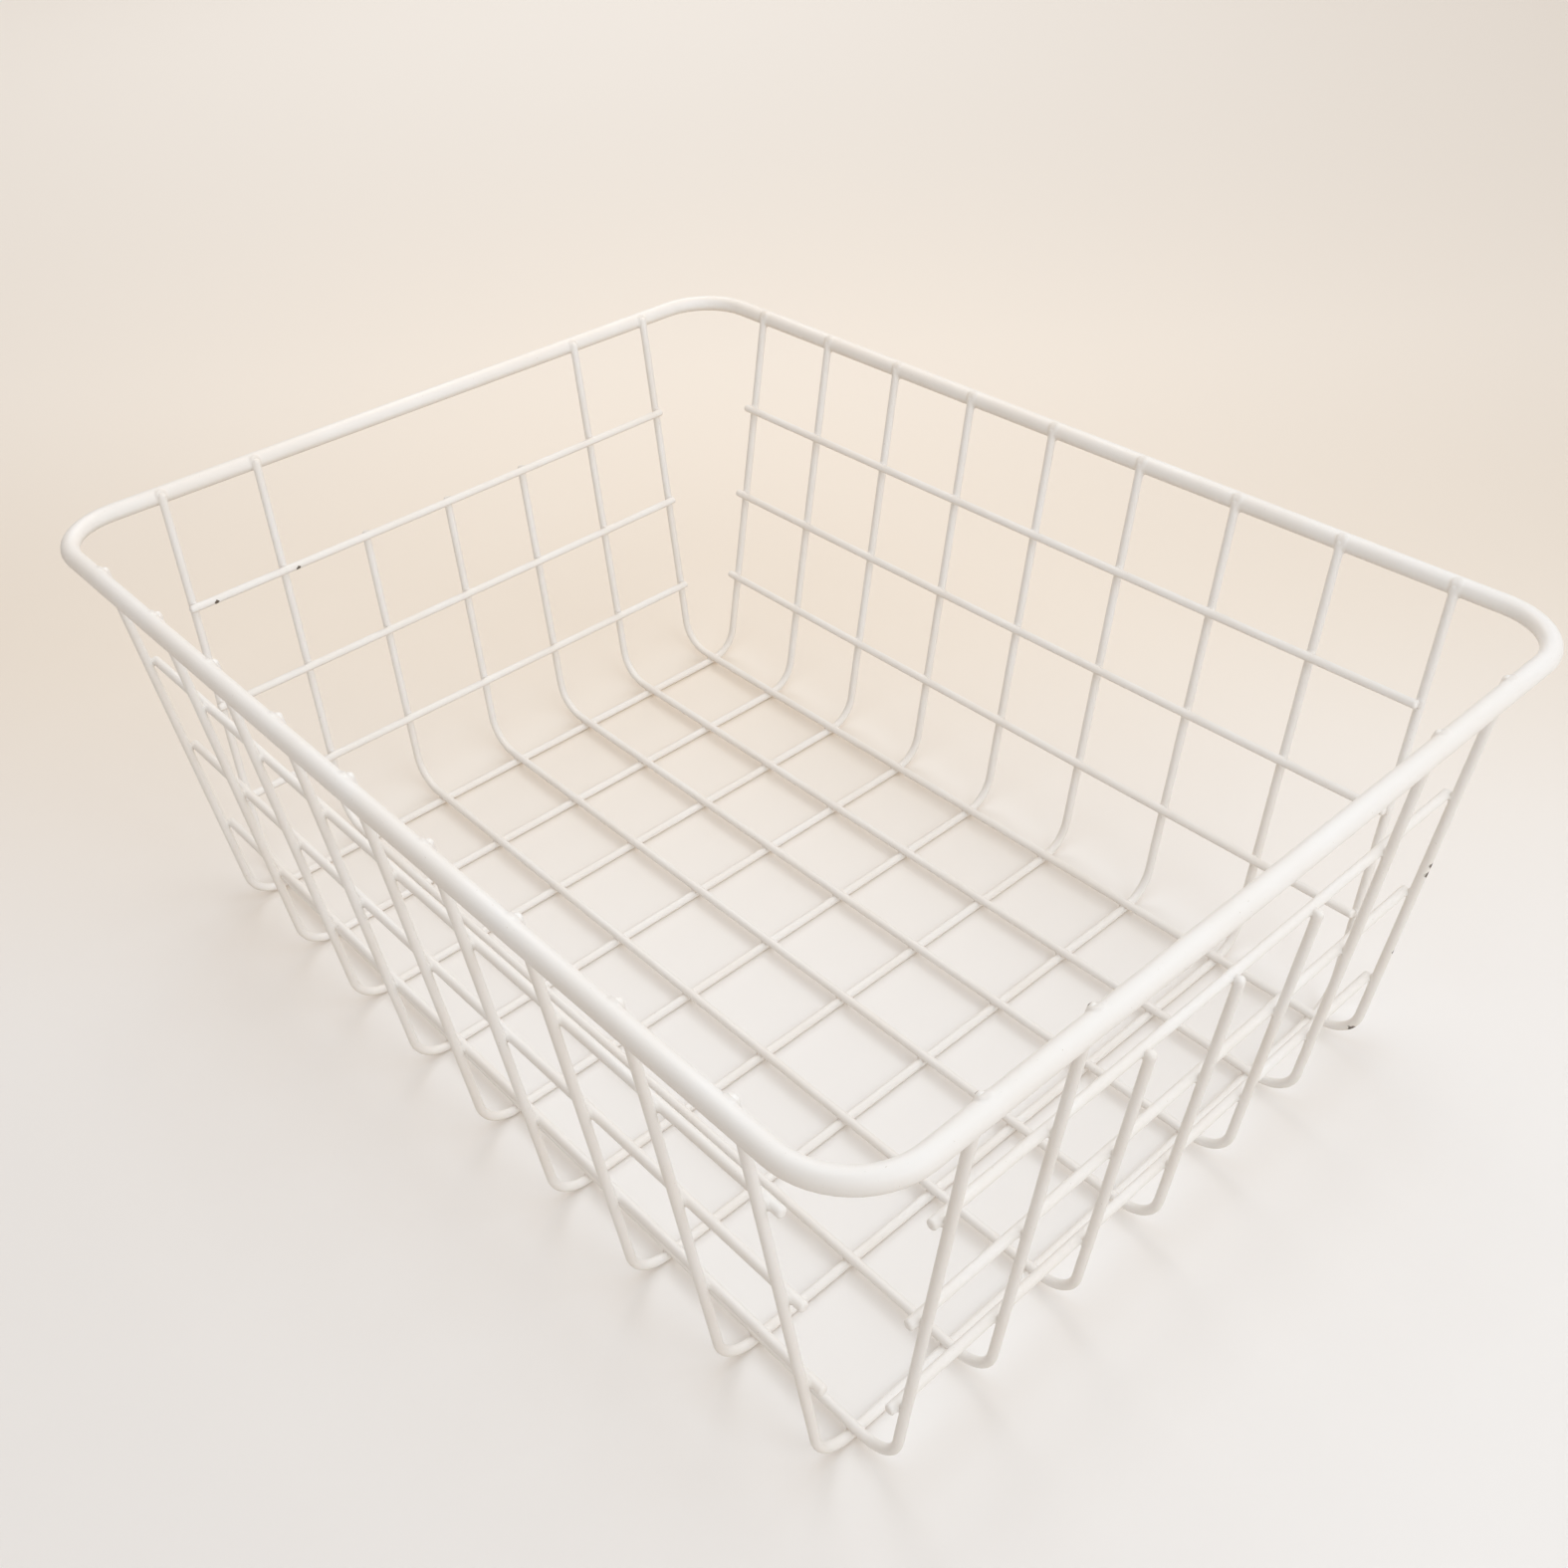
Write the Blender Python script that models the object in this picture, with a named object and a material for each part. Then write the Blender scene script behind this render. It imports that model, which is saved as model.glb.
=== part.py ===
"""Wire organizer basket with flared walls and a thick rim.

Cross wires lie lowest and rise at both ends as the front and back walls. Long wires lie on them and rise
as the left and right walls, where the middle ones stop short to leave a handhold. Straight rails tie the
uprights of each wall together on the inside, and a round rim rod goes round outside their tops. Every
crossing is a spot weld, drawn as two rods that lie SEAT_GAP apart.

X runs along the basket and Y across it, with Z up. The origin is on the floor under the middle.
"""

from math import acos, atan2, cos, hypot, pi, radians, sin, tan

import bmesh
import bpy
from mathutils import Matrix, Vector

MM = 0.001

# Overall sizes, over the outside of the rim
LENGTH = 385 * MM
WIDTH = 301 * MM
HEIGHT = 157.5 * MM

# Rods; the two bend radii are those of the rods' centre lines
RIM_DIAMETER = 6.2 * MM
WIRE_DIAMETER = 3 * MM
RIM_CORNER_RADIUS = 22 * MM
FOOT_BEND_RADIUS = 13 * MM
END_CHAMFER = 0.4 * MM
SEAT_GAP = 0.3 * MM

# Wires, with insets from the rim's outer side to the outermost wires' centres
CROSS_WIRE_COUNT = 9
LONG_WIRE_COUNT = 7
END_INSET = 40.5 * MM
SIDE_INSET = 42.5 * MM
END_FLAT_MARGIN = 3.2 * MM
SIDE_FLAT_MARGIN = 0.9 * MM
TIP_DROP = 0.4 * MM

# Handholds, above the middle wires of the left and right walls
HANDHOLD_WIRE_COUNT = 3
SHORT_TIP_RISE = 1.5 * MM

# Rails: the lowest one's rise from the floor and the highest one's drop from the rim's centre
RAIL_NAMES = ("low", "middle", "high")
SIDE_RAIL_RISE = 39.8 * MM
SIDE_RAIL_DROP = 37.8 * MM
END_RAIL_RISE = 33.2 * MM
END_RAIL_DROP = 41.4 * MM
RAIL_OVERHANG = 3 * MM

# Facets
RIM_SIDES = 16
WIRE_SIDES = 12
CORNER_STEPS = 8
FOOT_STEPS = 6
SHARP_ANGLE = radians(30)

# Finish: warm white powder coat
COAT_COLOUR = (0.83, 0.8, 0.75, 1)
COAT_ROUGHNESS = 0.38

# Places that follow from the sizes above
QUARTER_TURN = pi / 2
RIM_LEVEL = HEIGHT - RIM_DIAMETER / 2
RIM_HALF_LENGTH = (LENGTH - RIM_DIAMETER) / 2
RIM_HALF_WIDTH = (WIDTH - RIM_DIAMETER) / 2
RIM_SEAT = RIM_DIAMETER / 2 + SEAT_GAP + WIRE_DIAMETER / 2
WIRE_SEAT = WIRE_DIAMETER + SEAT_GAP
CROSS_LEVEL = WIRE_DIAMETER / 2
LONG_LEVEL = CROSS_LEVEL + WIRE_SEAT
LAST_CROSS_WIRE = LENGTH / 2 - END_INSET
LAST_LONG_WIRE = WIDTH / 2 - SIDE_INSET


class Rod:
    """A round rod made as a wire bender makes it: from one ring on, it runs straight or bends on."""

    def __init__(self, diameter, sides, start, heading, bend_axis):
        self.mesh = bmesh.new()
        self.position = Vector(start)
        self.heading = Vector(heading)
        self.bend_axis = Vector(bend_axis)
        inward = self.bend_axis.cross(self.heading)
        facing = Matrix((inward, self.bend_axis, self.heading)).transposed().to_4x4()
        flats_to_axes = Matrix.Rotation(pi / sides, 4, "Z")
        bmesh.ops.create_circle(
            self.mesh,
            segments=sides,
            radius=diameter / 2 / cos(pi / sides),
            matrix=Matrix.Translation(self.position) @ facing @ flats_to_axes,
        )
        self.first_ring = self.mesh.edges[:]
        self.ring = self.first_ring

    def run(self, length):
        """Carry the rod straight on."""
        step = self.heading * length
        made = bmesh.ops.extrude_edge_only(self.mesh, edges=self.ring)["geom"]
        bmesh.ops.translate(self.mesh, verts=[v for v in made if isinstance(v, bmesh.types.BMVert)], vec=step)
        self.position += step
        self.ring = open_edges(made)

    def bend(self, radius, angle, steps):
        """Bend the rod about its bend axis, with the radius measured to its centre line."""
        centre = self.position + self.bend_axis.cross(self.heading) * radius
        made = bmesh.ops.spin(
            self.mesh, geom=self.ring, cent=centre, axis=self.bend_axis, angle=angle, steps=steps
        )["geom_last"]
        turn = Matrix.Rotation(angle, 3, self.bend_axis)
        self.position = centre + turn @ (self.position - centre)
        self.heading = turn @ self.heading
        self.ring = open_edges(made)

    def close_loop(self):
        """Join the last ring to the first, which it faces."""
        bmesh.ops.bridge_loops(self.mesh, edges=self.ring + self.first_ring)

    def cut_ends(self):
        """Cap both ends and break their edges."""
        ends = bmesh.ops.holes_fill(self.mesh, edges=self.first_ring + self.ring)["faces"]
        rims = [edge for face in ends for edge in face.edges]
        bmesh.ops.bevel(self.mesh, geom=rims, offset=END_CHAMFER, segments=1, affect="EDGES")

    def finish(self, name):
        """Turn the rod into a smooth-shaded mesh with one material slot."""
        bmesh.ops.recalc_face_normals(self.mesh, faces=self.mesh.faces)
        mesh = bpy.data.meshes.new(name)
        self.mesh.to_mesh(mesh)
        self.mesh.free()
        mesh.shade_smooth()
        mesh.set_sharp_from_angle(angle=SHARP_ANGLE)
        mesh.materials.append(None)
        return mesh


def open_edges(geometry):
    """The edges of a rod's last ring, which have a face on one side only."""
    return [part for part in geometry if isinstance(part, bmesh.types.BMEdge) and len(part.link_faces) == 1]


class Wall:
    """Side view of a wall: its wires lie flat, bend up at the foot and lean on the rim's inner side."""

    def __init__(self, level, flat_half, rim_half):
        across = rim_half - flat_half
        up = RIM_LEVEL - level - FOOT_BEND_RADIUS
        touching = acos(-(FOOT_BEND_RADIUS + RIM_SEAT) / hypot(across, up))
        self.flat_half = flat_half
        self.angle = touching - atan2(across, up)
        self.foot_half = flat_half + FOOT_BEND_RADIUS * sin(self.angle)
        self.foot_top = level + FOOT_BEND_RADIUS * (1 - cos(self.angle))

    def half_at(self, height, inward=0):
        """Distance from the basket's middle, at a height, to the uprights or to what lies inward of them."""
        upright_height = height - inward * cos(self.angle)
        upright_half = self.foot_half + (upright_height - self.foot_top) / tan(self.angle)
        return upright_half - inward * sin(self.angle)


def wire_mesh(name, wall, tip_height):
    """A U-shaped wire along X, from one tip down, across the floor and up to the other tip."""
    upright = (tip_height - wall.foot_top) / sin(wall.angle)
    start = (-wall.half_at(tip_height), 0, tip_height)
    downward = (cos(wall.angle), 0, -sin(wall.angle))
    wire = Rod(WIRE_DIAMETER, WIRE_SIDES, start, downward, (0, -1, 0))
    wire.run(upright)
    wire.bend(FOOT_BEND_RADIUS, wall.angle, FOOT_STEPS)
    wire.run(2 * wall.flat_half)
    wire.bend(FOOT_BEND_RADIUS, wall.angle, FOOT_STEPS)
    wire.run(upright)
    wire.cut_ends()
    return wire.finish(name)


def rail_mesh(name, last_wire):
    """A straight rail along X that reaches past the outermost wires."""
    half = last_wire + RAIL_OVERHANG
    rail = Rod(WIRE_DIAMETER, WIRE_SIDES, (-half, 0, 0), (1, 0, 0), (0, -1, 0))
    rail.run(2 * half)
    rail.cut_ends()
    return rail.finish(name)


def rim_mesh(name):
    """The rim rod, a rounded rectangle that starts and ends at its back right corner."""
    straight_half_length = RIM_HALF_LENGTH - RIM_CORNER_RADIUS
    straight_half_width = RIM_HALF_WIDTH - RIM_CORNER_RADIUS
    start = (RIM_HALF_LENGTH, straight_half_width, 0)
    rim = Rod(RIM_DIAMETER, RIM_SIDES, start, (0, 1, 0), (0, 0, 1))
    for straight_half in (straight_half_length, straight_half_width, straight_half_length):
        rim.bend(RIM_CORNER_RADIUS, QUARTER_TURN, CORNER_STEPS)
        rim.run(2 * straight_half)
    rim.bend(RIM_CORNER_RADIUS, QUARTER_TURN, CORNER_STEPS)
    rim.close_loop()
    return rim.finish(name)


def coat(name):
    """Powder coat of one piece."""
    material = bpy.data.materials.new(name + "_coat")
    material.use_nodes = True
    shader = material.node_tree.nodes["Principled BSDF"]
    shader.inputs["Base Color"].default_value = COAT_COLOUR
    shader.inputs["Roughness"].default_value = COAT_ROUGHNESS
    shader.inputs["Metallic"].default_value = 0
    return material


def place(name, mesh, location, turn, basket):
    """One piece of the basket, with a coat of its own on a mesh that it may share."""
    piece = bpy.data.objects.new(name, mesh)
    bpy.context.collection.objects.link(piece)
    piece.parent = basket
    piece.location = location
    piece.rotation_euler.z = turn
    piece.material_slots[0].link = "OBJECT"
    piece.material_slots[0].material = coat(name)


def spread(first, last, count):
    """Evenly spaced places from the first to the last."""
    return [first + (last - first) * k / (count - 1) for k in range(count)]


def place_cross_wires(basket, wall):
    mesh = wire_mesh("cross_wire", wall, HEIGHT - TIP_DROP)
    for k, x in enumerate(spread(-LAST_CROSS_WIRE, LAST_CROSS_WIRE, CROSS_WIRE_COUNT)):
        place(f"cross_wire_{k + 1}", mesh, (x, 0, 0), QUARTER_TURN, basket)


def place_long_wires(basket, wall):
    full = wire_mesh("long_wire", wall, HEIGHT - TIP_DROP)
    short = wire_mesh("short_long_wire", wall, RIM_LEVEL - END_RAIL_DROP + SHORT_TIP_RISE)
    first_short = (LONG_WIRE_COUNT - HANDHOLD_WIRE_COUNT) // 2
    for k, y in enumerate(spread(-LAST_LONG_WIRE, LAST_LONG_WIRE, LONG_WIRE_COUNT)):
        below_handhold = first_short <= k < first_short + HANDHOLD_WIRE_COUNT
        place(f"long_wire_{k + 1}", short if below_handhold else full, (0, y, 0), 0, basket)


def place_side_rails(basket, wall):
    mesh = rail_mesh("side_rail", LAST_CROSS_WIRE)
    heights = spread(SIDE_RAIL_RISE, RIM_LEVEL - SIDE_RAIL_DROP, len(RAIL_NAMES))
    for label, height in zip(RAIL_NAMES, heights):
        half = wall.half_at(height, WIRE_SEAT)
        place(f"front_rail_{label}", mesh, (0, -half, height), 0, basket)
        place(f"back_rail_{label}", mesh, (0, half, height), 0, basket)


def place_end_rails(basket, wall):
    mesh = rail_mesh("end_rail", LAST_LONG_WIRE)
    heights = spread(END_RAIL_RISE, RIM_LEVEL - END_RAIL_DROP, len(RAIL_NAMES))
    for label, height in zip(RAIL_NAMES, heights):
        half = wall.half_at(height, WIRE_SEAT)
        place(f"left_rail_{label}", mesh, (-half, 0, height), QUARTER_TURN, basket)
        place(f"right_rail_{label}", mesh, (half, 0, height), QUARTER_TURN, basket)


def build_basket():
    basket = bpy.data.objects.new("basket", None)
    bpy.context.collection.objects.link(basket)
    side_wall = Wall(CROSS_LEVEL, LAST_LONG_WIRE + SIDE_FLAT_MARGIN, RIM_HALF_WIDTH)
    end_wall = Wall(LONG_LEVEL, LAST_CROSS_WIRE + END_FLAT_MARGIN, RIM_HALF_LENGTH)
    place("rim", rim_mesh("rim"), (0, 0, RIM_LEVEL), 0, basket)
    place_cross_wires(basket, side_wall)
    place_long_wires(basket, end_wall)
    place_side_rails(basket, side_wall)
    place_end_rails(basket, end_wall)


for leftover in list(bpy.data.objects):
    bpy.data.objects.remove(leftover, do_unlink=True)
build_basket()
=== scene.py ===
"""Looks of the wire organizer basket: coated rods that melt into each other at their welds.

Each CAD rod gets a centre line of its own, bent and welded alike but with the small errors of handwork.
Its surface is a row of rings round that line, which swell into a fillet wherever another rod is welded on.
"""

from math import acos, atan2, cos, hypot, pi, radians, sin, tan

import bpy
import numpy as np
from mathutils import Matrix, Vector


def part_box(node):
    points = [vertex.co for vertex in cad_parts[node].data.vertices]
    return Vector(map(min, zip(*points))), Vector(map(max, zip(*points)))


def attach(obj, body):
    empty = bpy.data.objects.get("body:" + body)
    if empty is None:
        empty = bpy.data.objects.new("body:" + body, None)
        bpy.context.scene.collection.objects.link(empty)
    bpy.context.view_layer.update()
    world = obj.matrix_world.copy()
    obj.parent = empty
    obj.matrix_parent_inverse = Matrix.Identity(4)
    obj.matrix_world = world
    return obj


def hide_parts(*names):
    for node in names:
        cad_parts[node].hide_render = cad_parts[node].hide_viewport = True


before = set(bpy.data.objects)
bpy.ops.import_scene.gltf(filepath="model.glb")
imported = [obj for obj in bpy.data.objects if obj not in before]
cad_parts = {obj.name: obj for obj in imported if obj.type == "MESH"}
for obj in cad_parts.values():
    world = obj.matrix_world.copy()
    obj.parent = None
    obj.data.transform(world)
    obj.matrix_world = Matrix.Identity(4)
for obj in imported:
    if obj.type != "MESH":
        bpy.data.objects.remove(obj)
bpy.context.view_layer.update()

MM = 0.001
SLOT = "powder_coat"

# Rods
FOOT_BEND_RADIUS = 13 * MM
RIM_CORNER_RADIUS = 22.4 * MM
END_FLAT_MARGIN = 3.2 * MM
SIDE_FLAT_MARGIN = 0.9 * MM
WELD_SPACING = 2.8 * MM       # between the centre lines of two wires welded where they cross
RIM_WELD_SPACING = 2.7 * MM   # between the centre lines of the rim and a wire's top
TIP_DROP = 1.0 * MM           # of the wires' tips below the rim's top
TIP_ROUNDING = 1.4 * MM
RAIL_ROUNDING = 0.8 * MM

# Hand-made details, in mm: how the welded rods stray from the regular pattern
LEAN = (0.6, 0.5)                    # of the wires' tops, along X and Y
CORNER_LIFT = 1.2                    # of the rim's near right corner
CORNER_LIFT_REACH = (380, 170)       # along X and Y
WIRE_SHIFTS = {
    "long_wire_2": 0.5,
    "long_wire_4": 1.2,
    "long_wire_5": 1.0,
    "cross_wire_3": -0.6,
    "cross_wire_4": -0.4,
}
RIGHT_TIP_RISE = 1.2                 # of the right tips under the rim, above the others
SHORT_TIP_RISES = {"left": 0.8, "right": 1.6}   # above the highest end rail

# Past the outermost wires, at a rail's left or front end and at its right or back end
RAIL_OVERHANGS = {"front": (0.5, 5), "back": (2.5, 0.5), "left": (2.5, 1), "right": (3.5, 0.8)}

# Above the regular height, at the same two ends of a rail
RAIL_LIFTS = {
    "back_rail_low": (0, -1),
    "left_rail_low": (1, 1.6),
    "left_rail_middle": (0.2, 2.4),
    "left_rail_high": (0.4, 2.8),
    "right_rail_low": (-1.7, -0.5),
    "right_rail_middle": (-2.6, -1.2),
    "right_rail_high": (-1.6, -0.8),
}

# Welds: the coat and the weld fill the crease between two rods
CROSSING_STEP = 2 * MM             # between the places along a rod that are tried for a weld
CROSSING_CLEARANCE = 1 * MM        # between the surfaces of two rods that are taken as welded
FILLET = 1.0 * MM
HIGHEST_SWELL = FILLET / 2
FULL_CREASE_SHADE_SWELL = FILLET / 4     # where the painted crease shade is at its darkest
SWELL_HALVINGS = 12                # in the search for a fillet's surface
WELD_REACH = 3.4 * MM              # of a fillet along a rod, past the other rod's radius

# Mesh
WIRE_SIDES = 20
RIM_SIDES = 40
RING_SPACING = 5 * MM
WELD_RING_SPACING = 0.4 * MM
LEAST_RING_SPACING = WELD_RING_SPACING / 2
BEND_STEP = radians(6)
LINE_STEP = 10 * MM
END_RINGS = 6

# Camera, as the photograph was taken
IMAGE_SIDE = 1575
FOCAL_LENGTH_PIXELS = 1708.9
PRINCIPAL_POINT_PIXELS = (713.4, 612.1)
CAMERA_PLACE = Vector((340.0, -299.5, 427.3)) * MM
CAMERA_TURN_DEGREES = (58.005, 2.368, 48.808)
CAMERA_CLIP_START = 10 * MM
SENSOR_WIDTH_MM = 36

# Powder coat; a fade is the pair of values between which something changes
COAT_COLOUR = (0.83, 0.815, 0.79)
COAT_CREAM_COLOUR = (0.815, 0.786, 0.745)
COAT_CLOUD_SIZE = 35 * MM
COAT_CLOUD_FADE = (0.3, 0.7)
COAT_ROUGHNESS = (0.42, 0.54)
# Painted shade: the coat turns darker and browner as it faces down
UNDERSIDE_SHADE_COLOUR = (0.61, 0.54, 0.455)
UNDERSIDE_SHADE_SHARE = 0.7
UNDERSIDE_SHADE_FADE = (0.15, -1)   # of how far the surface faces up, from 1 on top to -1 below
# Painted shade in the creases where rods are welded
CREASE_SHADE_COLOUR = (0.5, 0.43, 0.35)
CREASE_SHADE_SHARE = 0.15
FLECK_COLOUR = (0.6, 0.55, 0.48)
FLECK_SIZE = 0.7 * MM
FLECK_FADE = (0.72, 0.8)
ORANGE_PEEL_SIZE = 1.1 * MM
ORANGE_PEEL_DEPTH = 0.02 * MM
NOISE_DETAIL = 2

# Dark spots: chips where the coat is off the steel, and painted shadows under the right foot bend and on
# the highest left rail; rod, share of its length, turn round it, and size
CHIPS_AND_PAINTED_SHADOWS = (
    ("long_wire_7", 0.885, radians(12), 1.5 * MM),
    ("long_wire_7", 0.879, radians(2), 1.5 * MM),
    ("long_wire_7", 0.824, radians(15), 1.1 * MM),
    # painted shadow under the right foot bend
    ("long_wire_7", 0.764, radians(335), 2.0 * MM),
    ("long_wire_1", 0.998, radians(180), 1.0 * MM),
    ("long_wire_2", 0.998, radians(180), 1.0 * MM),
    # painted shadows on the rail's lower inner side
    ("left_rail_high", 0.0445, radians(195), 1.2 * MM),
    ("left_rail_high", 0.196, radians(195), 1.1 * MM),
)
SPOT_EDGE_SHARES = (1.1, 1.4)   # of a spot's size, between which its ragged edge fades
SPOT_HEADING_STEP = 1 * MM
# dark colour of the chips' bare steel, also used for the painted shadow spots
STEEL_AND_SHADOW_COLOUR = (0.1, 0.075, 0.055)

# Stage, with fades in metres from the basket's middle along the direction
FLOOR_SIDE = 24.0
FLOOR_ROUGHNESS = 0.8
FLOOR_NEAR_COLOUR = (0.835, 0.82, 0.80)
# Painted shade: a darker, warmer band under the basket's back and just behind it
FLOOR_WARM_SHADE_COLOUR = (0.82, 0.76, 0.68)
FLOOR_FAR_COLOUR = (0.88, 0.83, 0.76)
FLOOR_FADE_DIRECTION = (-0.77, 0.64, 0)
FLOOR_WARM_SHADE_FADE = (-0.06, 0.24)
FLOOR_FAR_FADE = (0.25, 0.55)

# Room, which lights the basket from all round
ROOM_LEFT_COLOUR = (0.42, 0.36, 0.305)
ROOM_RIGHT_COLOUR = (0.555, 0.475, 0.405)
ROOM_DIRECTION = (0.66, 0.75, 0)   # towards the right of the picture
HORIZON_COLOUR = (0.6, 0.537, 0.48)
HORIZON_FADE = (0.08, 0.35)        # of how steeply one looks up, from 0 level to 1 straight up

# Soft round lamps, with place and aim in metres, diameter, colour and watts
LAMP_COLOUR = (0.71, 0.855, 1)
SOFT_LAMPS = {
    "top": ((0.1, -0.1, 0.8), (0, 0, 0), 0.4, LAMP_COLOUR, 1.1),
    "right": ((0.75, -0.12, 0.58), (0, 0, 0), 0.4, LAMP_COLOUR, 0.9),
    "back_right": ((0.45, 0.3, 0.6), (0, 0, 0), 0.4, LAMP_COLOUR, 0.5),
    "low_right": ((0.8, 0.28, 0.23), (0, 0, 0), 0.4, (1, 0.95, 0.9), 0.4),
    "back_corner": ((-0.3, 0.25, 0.6), (-0.15, 0.12, 0), 0.3, (1, 0.7, 0.38), 0.53),
    "far": ((-1.3, 0.9, 1.5), (-1.5, 1.0, 0), 1.2, (0.8, 0.89, 1), 9.5),
}

# Broad windows, with azimuth, elevation, width, colour and strength
WINDOWS = {
    "window": (radians(120), radians(45), radians(60), LAMP_COLOUR, 0.48),
    "fill": (radians(-12), radians(40), radians(60), (0.88, 0.895, 0.92), 0.73),
}
SHADOWLESS_LAMPS = ("fill", "back_corner")


def middle(node):
    """Middle of a CAD node's box."""
    low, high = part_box(node)
    return (low + high) / 2


# Sizes and levels that follow from the frame
rim_low, rim_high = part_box("rim")
RIM_RADIUS = (rim_high.z - rim_low.z) / 2
RIM_LEVEL = (rim_high.z + rim_low.z) / 2
RIM_HALF_LENGTH = rim_high.x - RIM_RADIUS
RIM_HALF_WIDTH = rim_high.y - RIM_RADIUS
wire_low, wire_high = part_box("cross_wire_1")
WIRE_RADIUS = (wire_high.x - wire_low.x) / 2
CROSS_LEVEL = wire_low.z + WIRE_RADIUS
LONG_LEVEL = CROSS_LEVEL + WELD_SPACING
LAST_CROSS_WIRE = middle("cross_wire_9").x
LAST_LONG_WIRE = middle("long_wire_7").y
STRETCH_REACH = LINE_STEP + RIM_RADIUS + 2 * WIRE_RADIUS   # of a welded rod, either way from the weld

CROSS_WIRES = sorted(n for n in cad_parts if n.startswith("cross_wire"))
LONG_WIRES = sorted(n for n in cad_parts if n.startswith("long_wire"))
RAILS = sorted(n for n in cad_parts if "_rail_" in n)


class Wall:
    """Side view of a wall: its wires lie flat, bend up at the foot and lean on the rim's inner side.

    An upright is the line that touches its foot bend and passes the rim's centre at the spacing of a weld.
    """

    def __init__(self, level, flat_half, rim_half):
        across = rim_half - flat_half
        up = RIM_LEVEL - level - FOOT_BEND_RADIUS
        touching = acos(-(FOOT_BEND_RADIUS + RIM_WELD_SPACING) / hypot(across, up))
        self.level = level
        self.flat_half = flat_half
        self.angle = touching - atan2(across, up)
        self.foot_half = flat_half + FOOT_BEND_RADIUS * sin(self.angle)
        self.foot_top = level + FOOT_BEND_RADIUS * (1 - cos(self.angle))

    def half_at(self, height, inward=0):
        """Distance, at a height, from the middle to the uprights or to what lies inward of them."""
        upright_height = height - inward * cos(self.angle)
        upright_half = self.foot_half + (upright_height - self.foot_top) / tan(self.angle)
        return upright_half - inward * sin(self.angle)


SIDE_WALL = Wall(CROSS_LEVEL, LAST_LONG_WIRE + SIDE_FLAT_MARGIN, RIM_HALF_WIDTH)
END_WALL = Wall(LONG_LEVEL, LAST_CROSS_WIRE + END_FLAT_MARGIN, RIM_HALF_LENGTH)


class Rod:
    """Centre line of a round rod, with its radius, its welds and the CAD node that it stands for.

    Its side is a direction across it, by which the turns round the rod are counted.
    """

    def __init__(self, node, points, side, rounding=0):
        self.node = node
        self.points = np.array(points, float)
        self.side = np.array(side, float)
        self.rounding = rounding
        self.closed = node == "rim"
        self.radius = RIM_RADIUS if self.closed else WIRE_RADIUS
        self.sides = RIM_SIDES if self.closed else WIRE_SIDES
        self.welds = []

    def line(self):
        """The centre line's points, with the first one again at the end of a closed one."""
        return np.vstack([self.points, self.points[:1]]) if self.closed else self.points

    def stations(self):
        """How far each of these points is along the rod."""
        return np.r_[0, np.cumsum(np.linalg.norm(np.diff(self.line(), axis=0), axis=1))]

    def places(self, stations):
        """Places on the centre line that are so far along the rod."""
        line = self.line()
        own = self.stations()
        return np.stack([np.interp(stations, own, line[:, axis]) for axis in range(3)], 1)

    def walk(self, spacing):
        """Evenly spaced places along the rod, and how far along they are."""
        length = self.stations()[-1]
        count = max(int(length / spacing), 1)
        stations = np.linspace(0, length, count + 1)
        return self.places(stations), stations

    def distance(self, places):
        """Distance from each place to the rod's centre line."""
        line = self.line()
        start, step = line[:-1], np.diff(line, axis=0)
        away = places[:, None] - start
        share = np.clip((away * step).sum(2) / (step * step).sum(1), 0, 1)
        return np.linalg.norm(away - share[..., None] * step, axis=2).min(1)

    def surface_place(self, share, turn):
        """A place on the rod's surface, at a share of its length and a turn round it."""
        steps = np.array([-SPOT_HEADING_STEP, 0, SPOT_HEADING_STEP])
        before, place, after = self.places(share * self.stations()[-1] + steps)
        heading = after - before
        across = np.cross(self.side, heading)
        across /= np.linalg.norm(across)
        side = np.cross(heading, across) / np.linalg.norm(heading)
        return tuple(place + self.radius * (across * cos(turn) + side * sin(turn)))

    def stretch(self, place):
        """The rod's part around a place, as a rod of its own."""
        line = self.line()
        near = np.flatnonzero(np.linalg.norm(line - place, axis=1) < STRETCH_REACH)
        part = Rod(self.node, line[max(near[0] - 1, 0):near[-1] + 2], self.side)
        part.closed = False
        return part


def arc(centre, radius, start, end):
    """Points on an arc in the plane, with both ends."""
    count = max(int(abs(end - start) / BEND_STEP), 1)
    turns = np.linspace(start, end, count + 1)
    return [(centre[0] + radius * cos(t), centre[1] + radius * sin(t)) for t in turns]


def wire_profile(wall, tip_height):
    """Half a U-shaped wire as (distance from the middle, height), from the middle to the tip."""
    bend_centre = (wall.flat_half, wall.level + FOOT_BEND_RADIUS)
    foot = arc(bend_centre, FOOT_BEND_RADIUS, -pi / 2, wall.angle - pi / 2)
    return foot + [(wall.half_at(tip_height), tip_height)]


def settle(points, lean=(0, 0)):
    """A line cut into short steps, leaning as it rises and lifted near the rim's near right corner."""
    settled = []
    for start, end in zip(points, points[1:]):
        count = max(int(np.linalg.norm(np.subtract(end, start)) / LINE_STEP), 1)
        settled += np.linspace(start, end, count, endpoint=False).tolist()
    settled = np.array(settled + [points[-1]], float)
    rise_share = settled[:, 2] / RIM_LEVEL
    corner = (RIM_HALF_LENGTH, -RIM_HALF_WIDTH)
    away = (settled[:, :2] - corner) / np.multiply(CORNER_LIFT_REACH, MM)
    near_share = np.clip(1 - np.linalg.norm(away, axis=1), 0, 1)
    eased_share = near_share**2 * (3 - 2 * near_share)
    settled[:, :2] += rise_share[:, None] * np.multiply(lean, MM)
    settled[:, 2] += rise_share * eased_share * CORNER_LIFT * MM
    return settled


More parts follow.
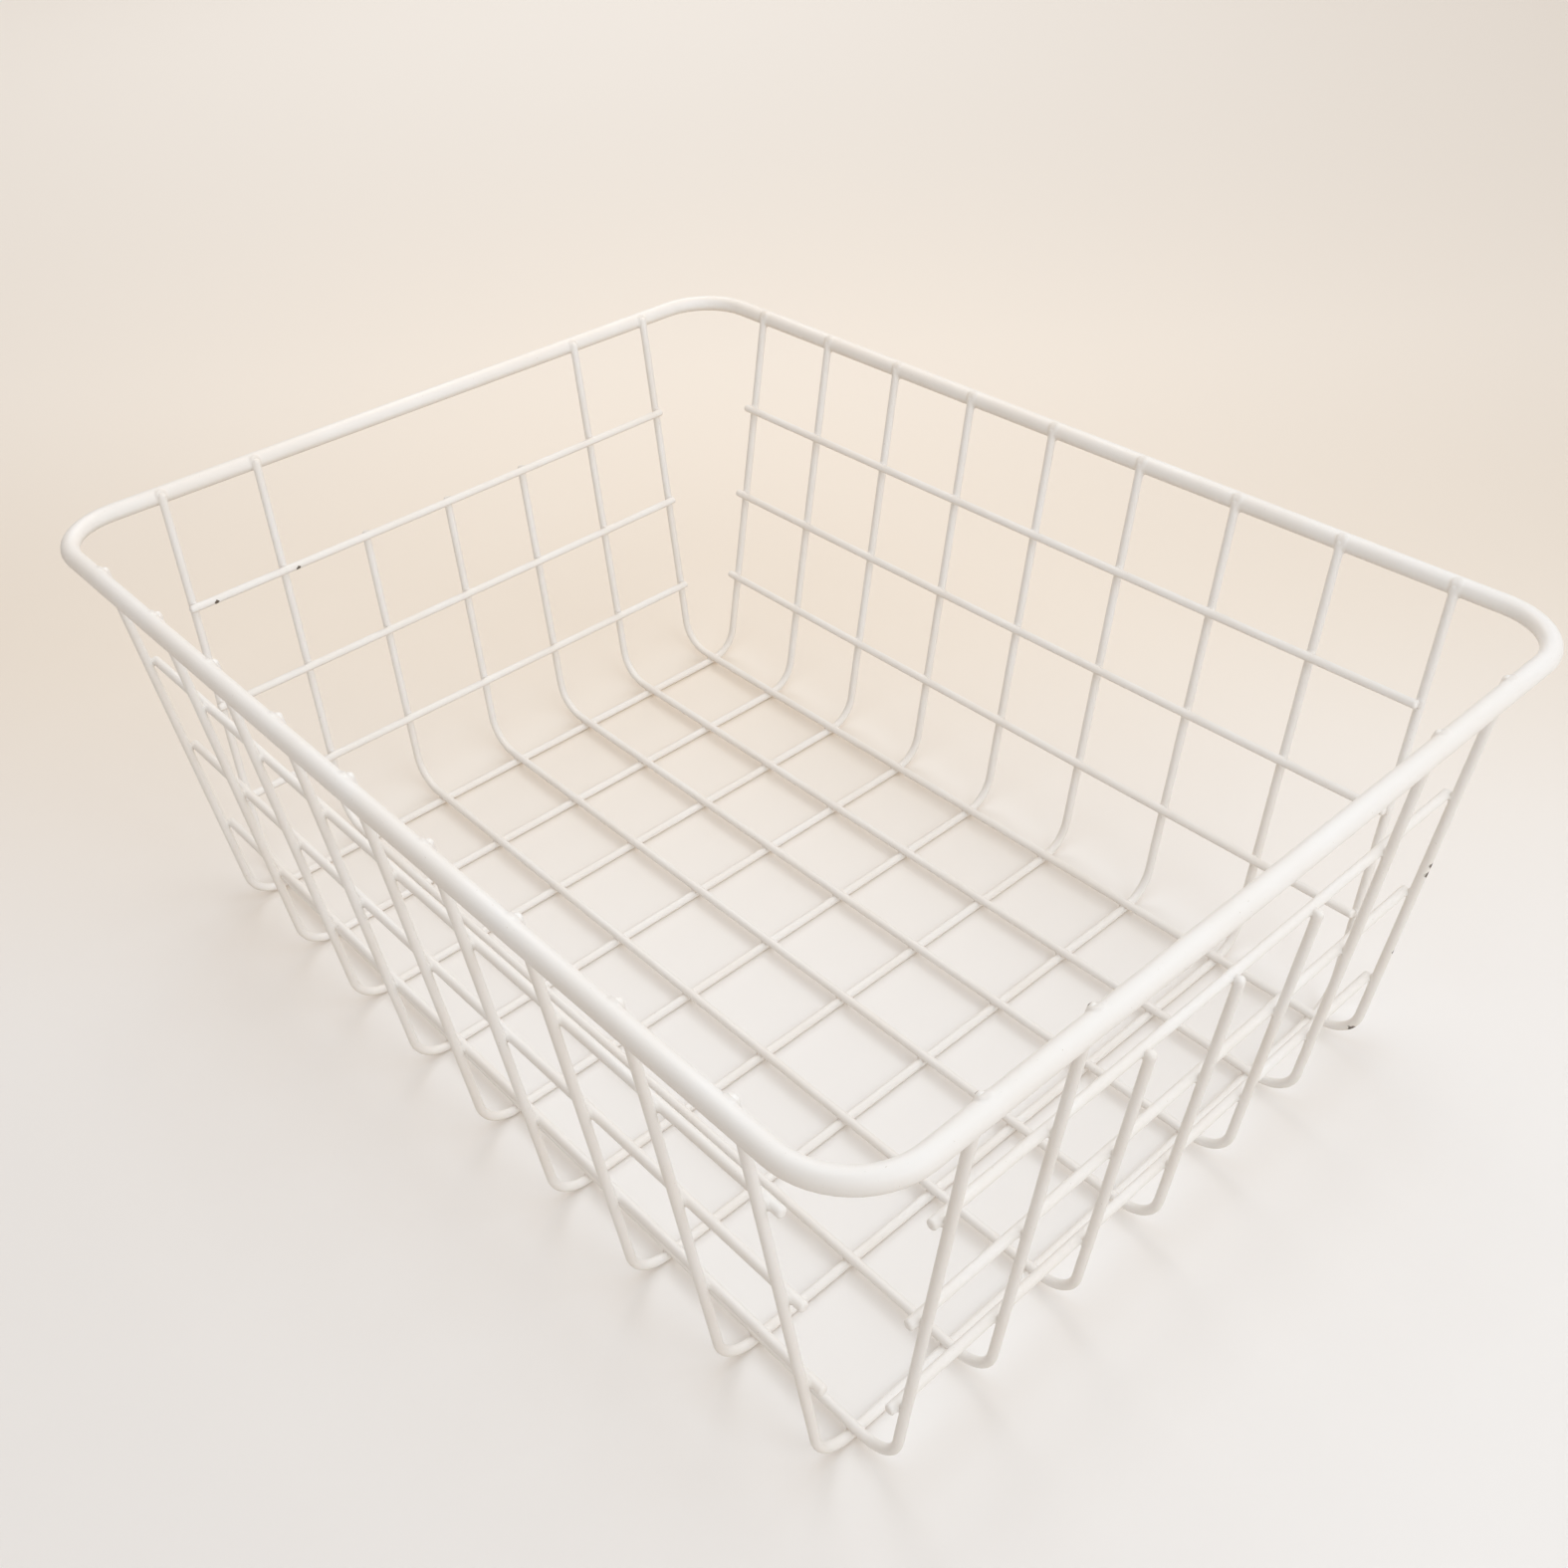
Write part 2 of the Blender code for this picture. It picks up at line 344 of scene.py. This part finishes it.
def u_wire(node, wall, tip_heights, along):
    """A wire that lies along X or Y, near its CAD node's place on the other axis."""
    first, last = [wire_profile(wall, height) for height in tip_heights]
    outline = [(-half, z) for half, z in reversed(first)] + last
    centre = middle(node)
    shift = WIRE_SHIFTS.get(node, 0) * MM
    if along == "x":
        points = [(half, centre.y + shift, z) for half, z in outline]
        side = (0, 1, 0)
    else:
        points = [(centre.x + shift, half, z) for half, z in outline]
        side = (1, 0, 0)
    return Rod(node, settle(points, LEAN), side, TIP_ROUNDING)


def rail(node):
    """A rail that touches the inner side of its wall's uprights."""
    wall_name = node.split("_")[0]
    centre = middle(node)
    overhangs = RAIL_OVERHANGS[wall_name]
    lifts = RAIL_LIFTS.get(node, (0, 0))
    points = []
    for sign, overhang, lift in zip((-1, 1), overhangs, lifts):
        height = centre.z + lift * MM
        if wall_name in ("front", "back"):
            along = sign * (LAST_CROSS_WIRE + overhang * MM)
            across = np.sign(centre.y) * SIDE_WALL.half_at(height, WELD_SPACING)
            points.append((along, across, height))
        else:
            along = sign * (LAST_LONG_WIRE + overhang * MM)
            across = np.sign(centre.x) * END_WALL.half_at(height, WELD_SPACING)
            points.append((across, along, height))
    return Rod(node, settle(points, LEAN), (0, 0, 1), RAIL_ROUNDING)


def rim_rod():
    """The rim, round its four corners."""
    half_length = RIM_HALF_LENGTH - RIM_CORNER_RADIUS
    half_width = RIM_HALF_WIDTH - RIM_CORNER_RADIUS
    points = []
    for quarter, sx, sy in ((0, 1, 1), (1, -1, 1), (2, -1, -1), (3, 1, -1)):
        corner = (sx * half_length, sy * half_width)
        bend = arc(corner, RIM_CORNER_RADIUS, quarter * pi / 2, (quarter + 1) * pi / 2)
        points += [(x, y, RIM_LEVEL) for x, y in bend]
    return Rod("rim", settle(points + points[:1])[:-1], (0, 0, 1))


def short_tip(rods, end, y):
    """Height of a middle wire's tip, just above the highest end rail where it crosses it."""
    points = rods[end + "_rail_high"].points
    return float(np.interp(y, points[:, 1], points[:, 2])) + SHORT_TIP_RISES[end] * MM


def make_rods():
    """Every rod of the basket by name."""
    rods = {"rim": rim_rod()}
    for node in RAILS:
        rods[node] = rail(node)
    tip = rim_high.z - TIP_DROP
    for node in CROSS_WIRES:
        rods[node] = u_wire(node, SIDE_WALL, (tip, tip), "y")
    for node in LONG_WIRES:
        tips = (tip, tip + RIGHT_TIP_RISE * MM)
        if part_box(node)[1].z < rim_low.z:
            tips = [short_tip(rods, end, middle(node).y) for end in ("left", "right")]
        rods[node] = u_wire(node, END_WALL, tips, "x")
    return rods


def closest_places(a, b):
    """Where two rods come closest, as places on the first one, one for each separate crossing."""
    places = a.walk(CROSSING_STEP)[0]
    near = b.distance(places)
    touching = near < a.radius + b.radius + CROSSING_CLEARANCE
    found = []
    start = None
    for k in range(len(places) + 1):
        inside = k < len(places) and touching[k]
        if inside and start is None:
            start = k
        if not inside and start is not None:
            found.append(places[start + int(np.argmin(near[start:k]))])
            start = None
    return found


def weld_rods(rods):
    """Tell every rod which others it is welded to, and where."""
    names = list(rods)
    for i, first in enumerate(names):
        for second in names[i + 1:]:
            for place in closest_places(rods[first], rods[second]):
                rods[first].welds.append((place, rods[second].stretch(place)))
                rods[second].welds.append((place, rods[first].stretch(place)))


def ring_stations(rod):
    """How far along a rod its rings lie: close together at welds and bends."""
    own = rod.stations()
    length = own[-1]
    stations = set(own.tolist())
    for a, b in zip(own[:-1], own[1:]):
        stations.update(np.linspace(a, b, max(int((b - a) / RING_SPACING), 1) + 1).tolist())
    fine, along = rod.walk(WELD_RING_SPACING)
    for place, other in rod.welds:
        nearest = along[np.linalg.norm(fine - place, axis=1).argmin()]
        reach = WELD_REACH + other.radius
        steps = np.arange(-reach, reach, WELD_RING_SPACING)
        stations.update(s for s in (nearest + steps).tolist() if 0 <= s <= length)
    kept = []
    for s in sorted(stations):
        if not kept or s - kept[-1] > LEAST_RING_SPACING:
            kept.append(s)
    if rod.closed:
        kept = [s for s in kept if s < length - LEAST_RING_SPACING]
    return np.array(kept)


def smooth_min(a, b, width):
    """The smaller of two distances, rounded where they are within a width of each other."""
    blend = np.maximum(width - np.abs(a - b), 0) / width
    return np.minimum(a, b) - blend * blend * width / 4


def swell(rod, centres, outward):
    """How far each surface point stands out in a crease to another rod, and how deep in the crease it
    lies, which sets the coat's painted crease shade.
    """
    height = np.zeros(len(centres))
    crease_shade = np.zeros(len(centres))
    for place, other in rod.welds:
        reach = WELD_REACH + other.radius + rod.radius
        near = np.flatnonzero(np.linalg.norm(centres - place, axis=1) < reach)
        low = np.zeros(len(near))
        high = np.full(len(near), HIGHEST_SWELL)
        for _ in range(SWELL_HALVINGS):
            guess = (low + high) / 2
            surface = centres[near] + outward[near] * (rod.radius + guess)[:, None]
            inside = smooth_min(guess, other.distance(surface) - other.radius, FILLET) < 0
            low = np.where(inside, guess, low)
            high = np.where(inside, high, guess)
        height[near] = np.maximum(height[near], low)
        crease_shade[near] = np.maximum(crease_shade[near], low / FULL_CREASE_SHADE_SWELL)
    return height, np.clip(crease_shade, 0, 1)


def round_ends(rod, centres, heading, across):
    """Rings that shrink towards each end of an open rod, in place of its last ones."""
    turns = np.linspace(0, pi / 2, END_RINGS + 1)[1:, None]
    back = (1 - np.sin(turns)) * rod.rounding
    shrunk = rod.radius - (1 - np.cos(turns[:, 0])) * rod.rounding
    lead = centres[0] + heading[0] * back[::-1]
    tail = centres[-1] - heading[-1] * back
    kept = np.linalg.norm(centres - centres[0], axis=1) > rod.rounding
    kept &= np.linalg.norm(centres - centres[-1], axis=1) > rod.rounding
    index = np.r_[[0] * END_RINGS, np.flatnonzero(kept), [-1] * END_RINGS]
    centres = np.vstack([lead, centres[kept], tail])
    radii = np.r_[shrunk[::-1], np.full(kept.sum(), rod.radius), shrunk]
    return centres, heading[index], across[index], radii


def ring_faces(rings, sides, closed):
    """Quads between neighbouring rings, with a cap on each end of an open rod."""
    faces = []
    for i in range(rings if closed else rings - 1):
        j = (i + 1) % rings
        for k in range(sides):
            m = (k + 1) % sides
            faces.append((i * sides + k, j * sides + k, j * sides + m, i * sides + m))
    if not closed:
        faces.append(tuple(range(sides)))
        faces.append(tuple((rings - 1) * sides + k for k in reversed(range(sides))))
    return faces


def rod_mesh(rod):
    """The rod's surface: rings along its centre line, swollen at its welds, with rounded ends."""
    centres = rod.places(ring_stations(rod))
    if rod.closed:
        heading = np.roll(centres, -1, 0) - np.roll(centres, 1, 0)
    else:
        heading = np.gradient(centres, axis=0)
    across = np.cross(rod.side, heading)
    across /= np.linalg.norm(across, axis=1)[:, None]
    heading /= np.linalg.norm(heading, axis=1)[:, None]
    radii = np.full(len(centres), rod.radius)
    if not rod.closed:
        centres, heading, across, radii = round_ends(rod, centres, heading, across)
    turns = np.linspace(0, 2 * pi, rod.sides, endpoint=False)[None, :, None]
    side = np.cross(heading, across)
    outward = across[:, None] * np.cos(turns) + side[:, None] * np.sin(turns)
    outward = outward.reshape(-1, 3)
    ring_centres = np.repeat(centres, rod.sides, 0)
    ring_radii = np.repeat(radii, rod.sides)
    height, crease_shade = swell(rod, ring_centres, outward)
    height *= ring_radii / rod.radius
    points = ring_centres + outward * (ring_radii + height)[:, None]
    return points, ring_faces(len(centres), rod.sides, rod.closed), crease_shade


class Nodes:
    """A node tree, whose nodes are made and linked in one call each."""

    def __init__(self, owner, shader_name):
        owner.use_nodes = True
        self.owner = owner
        self.tree = owner.node_tree
        self.shader = self.tree.nodes[shader_name]

    def put(self, node, inputs):
        """Set a node's inputs: to a number, to a colour or place, or to another node's output."""
        for name, value in inputs.items():
            socket = node.inputs[name]
            if isinstance(value, bpy.types.NodeSocket):
                self.tree.links.new(value, socket)
            else:
                socket.default_value = (*value, 1) if socket.type == "RGBA" else value

    def add(self, kind, output, inputs=None, **settings):
        """Make a node and give back one of its outputs."""
        node = self.tree.nodes.new("ShaderNode" + kind)
        for name, value in settings.items():
            setattr(node, name, value)
        self.put(node, inputs or {})
        return node.outputs[output]

    def noise(self, place, size):
        """Smooth noise whose lumps have a given size, from 0 to 1."""
        inputs = {"Vector": place, "Scale": 1 / size, "Detail": NOISE_DETAIL}
        return self.add("TexNoise", "Fac", inputs)

    def dot(self, place, direction):
        """How far a place lies along a direction."""
        return self.add("VectorMath", "Value", {0: place, 1: direction}, operation="DOT_PRODUCT")

    def upward(self, direction):
        """The share of a direction that points up."""
        return self.add("SeparateXYZ", "Z", {"Vector": direction})

    def ramp(self, value, start, end, low=0, high=1):
        """A value that goes smoothly from low to high while another goes from start to end."""
        inputs = {"Value": value, "From Min": start, "From Max": end, "To Min": low, "To Max": high}
        return self.add("MapRange", "Result", inputs, interpolation_type="SMOOTHSTEP")

    def mix(self, share, first, second):
        """One colour that turns into another."""
        inputs = {"Factor": share, "A": first, "B": second}
        return self.add("Mix", "Result", inputs, data_type="RGBA")


def chip_and_shadow_spot(nodes, place, grain, centre, size):
    """Share of dark colour around a place on a rod, from 1 in a spot to 0 past its ragged edge; the spots
    are chips of bare steel and painted shadows.
    """
    start, end = [size * share for share in SPOT_EDGE_SHARES]
    away = nodes.add("VectorMath", "Value", {0: place, 1: centre}, operation="DISTANCE")
    edge = nodes.add("Math", "Value", {0: grain, 1: size, 2: away}, operation="MULTIPLY_ADD")
    return nodes.ramp(edge, start, end, 1, 0)


def powder_coat(rods):
    """Satin warm white coat: cloudy, with flecks and a few chips; painted shade darkens it underneath and
    in creases, and some dark spots are painted shadows.
    """
    nodes = Nodes(bpy.data.materials.new(SLOT), "Principled BSDF")
    place = nodes.add("TexCoord", "Object")
    cloud = nodes.ramp(nodes.noise(place, COAT_CLOUD_SIZE), *COAT_CLOUD_FADE)
    colour = nodes.mix(cloud, COAT_COLOUR, COAT_CREAM_COLOUR)
    upward = nodes.upward(nodes.add("NewGeometry", "Normal"))
    # painted shade on the faces that point down
    painted_underside_shade = nodes.ramp(upward, *UNDERSIDE_SHADE_FADE, 0, UNDERSIDE_SHADE_SHARE)
    colour = nodes.mix(painted_underside_shade, colour, UNDERSIDE_SHADE_COLOUR)
    # painted shade in the creases at the welds
    crease_shade = nodes.ramp(nodes.add("Attribute", "Fac", attribute_name="crease_shade_attribute"), 0, 1, 0, CREASE_SHADE_SHARE)
    colour = nodes.mix(crease_shade, colour, CREASE_SHADE_COLOUR)
    grain = nodes.noise(place, FLECK_SIZE)
    colour = nodes.mix(nodes.ramp(grain, *FLECK_FADE), colour, FLECK_COLOUR)
    # chips of bare steel, and dark spots of painted shadow
    for node, share, turn, size in CHIPS_AND_PAINTED_SHADOWS:
        centre = rods[node].surface_place(share, turn)
        colour = nodes.mix(chip_and_shadow_spot(nodes, place, grain, centre, size), colour, STEEL_AND_SHADOW_COLOUR)
    peel = {"Distance": ORANGE_PEEL_DEPTH, "Height": nodes.noise(place, ORANGE_PEEL_SIZE)}
    nodes.put(nodes.shader, {
        "Base Color": colour,
        "Roughness": nodes.ramp(cloud, 0, 1, *COAT_ROUGHNESS),
        "Normal": nodes.add("Bump", "Normal", peel),
    })
    return nodes.owner


def make_piece(rod, material):
    """The coated rod that stands for a CAD node."""
    points, faces, crease_shade = rod_mesh(rod)
    mesh = bpy.data.meshes.new(rod.node)
    mesh.from_pydata(points.tolist(), [], faces)
    mesh.validate()
    mesh.materials.append(material)
    # how deep in a crease each point lies, for the coat's painted crease shade
    crease_shade_attribute = mesh.attributes.new("crease_shade_attribute", "FLOAT", "POINT")
    crease_shade_attribute.data.foreach_set("value", crease_shade.astype(np.float32))
    mesh.shade_smooth()
    piece = bpy.data.objects.new(rod.node + "_coated", mesh)
    bpy.context.collection.objects.link(piece)
    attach(piece, "root")
    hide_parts(rod.node)


def make_stage():
    """A plain pale floor, creamier far behind the basket, with a band of painted warm shade under the
    basket's back and just behind it.
    """
    mesh = bpy.data.meshes.new("floor")
    half = FLOOR_SIDE / 2
    corners = [(-half, -half, 0), (half, -half, 0), (half, half, 0), (-half, half, 0)]
    mesh.from_pydata(corners, [], [(0, 1, 2, 3)])
    floor = bpy.data.objects.new("floor", mesh)
    bpy.context.collection.objects.link(floor)
    nodes = Nodes(bpy.data.materials.new("floor"), "Principled BSDF")
    away = nodes.dot(nodes.add("TexCoord", "Object"), FLOOR_FADE_DIRECTION)
    # painted warm shade under and behind the basket's back
    colour = nodes.mix(nodes.ramp(away, *FLOOR_WARM_SHADE_FADE), FLOOR_NEAR_COLOUR, FLOOR_WARM_SHADE_COLOUR)
    colour = nodes.mix(nodes.ramp(away, *FLOOR_FAR_FADE), colour, FLOOR_FAR_COLOUR)
    nodes.put(nodes.shader, {"Base Color": colour, "Roughness": FLOOR_ROUGHNESS})
    mesh.materials.append(nodes.owner)


def make_room():
    """The room's light, warmer and brighter to the right and palest at the horizon."""
    world = bpy.data.worlds.new("world")
    bpy.context.scene.world = world
    nodes = Nodes(world, "Background")
    towards = nodes.add("TexCoord", "Generated")
    rightward = nodes.ramp(nodes.dot(towards, ROOM_DIRECTION), -1, 1)
    room = nodes.mix(rightward, ROOM_LEFT_COLOUR, ROOM_RIGHT_COLOUR)
    height = nodes.ramp(nodes.upward(towards), *HORIZON_FADE)
    nodes.put(nodes.shader, {"Color": nodes.mix(height, HORIZON_COLOUR, room)})


def add_lamp(name, kind, colour, energy, place, aim):
    """A lamp that isn't seen itself."""
    light = bpy.data.lights.new(name, kind)
    light.color = colour
    light.energy = energy
    light.use_shadow = name not in SHADOWLESS_LAMPS
    lamp = bpy.data.objects.new(name, light)
    lamp.location = place
    lamp.rotation_euler = (Vector(place) - Vector(aim)).to_track_quat("Z", "Y").to_euler()
    lamp.visible_camera = False
    bpy.context.collection.objects.link(lamp)
    return light


def make_lights():
    """The soft lamps and the windows."""
    for name, (place, aim, diameter, colour, watts) in SOFT_LAMPS.items():
        lamp = add_lamp(name, "AREA", colour, watts, place, aim)
        lamp.shape = "DISK"
        lamp.size = diameter
    for name, (azimuth, elevation, width, colour, strength) in WINDOWS.items():
        level = cos(elevation)
        towards = (cos(azimuth) * level, sin(azimuth) * level, sin(elevation))
        window = add_lamp(name, "SUN", colour, strength, towards, (0, 0, 0))
        window.angle = width


def make_camera():
    """The camera, with the photograph's place, lens and framing."""
    data = bpy.data.cameras.new("camera")
    data.sensor_width = SENSOR_WIDTH_MM
    data.lens = FOCAL_LENGTH_PIXELS / IMAGE_SIDE * SENSOR_WIDTH_MM
    data.shift_x = 0.5 - PRINCIPAL_POINT_PIXELS[0] / IMAGE_SIDE
    data.shift_y = PRINCIPAL_POINT_PIXELS[1] / IMAGE_SIDE - 0.5
    data.clip_start = CAMERA_CLIP_START
    camera = bpy.data.objects.new("camera", data)
    camera.location = CAMERA_PLACE
    camera.rotation_euler = [radians(a) for a in CAMERA_TURN_DEGREES]
    bpy.context.collection.objects.link(camera)
    bpy.context.scene.camera = camera


bpy.context.scene.view_settings.view_transform = "Standard"
rods = make_rods()
weld_rods(rods)
coat = powder_coat(rods)
for rod in rods.values():
    make_piece(rod, coat)
make_stage()
make_room()
make_lights()
make_camera()
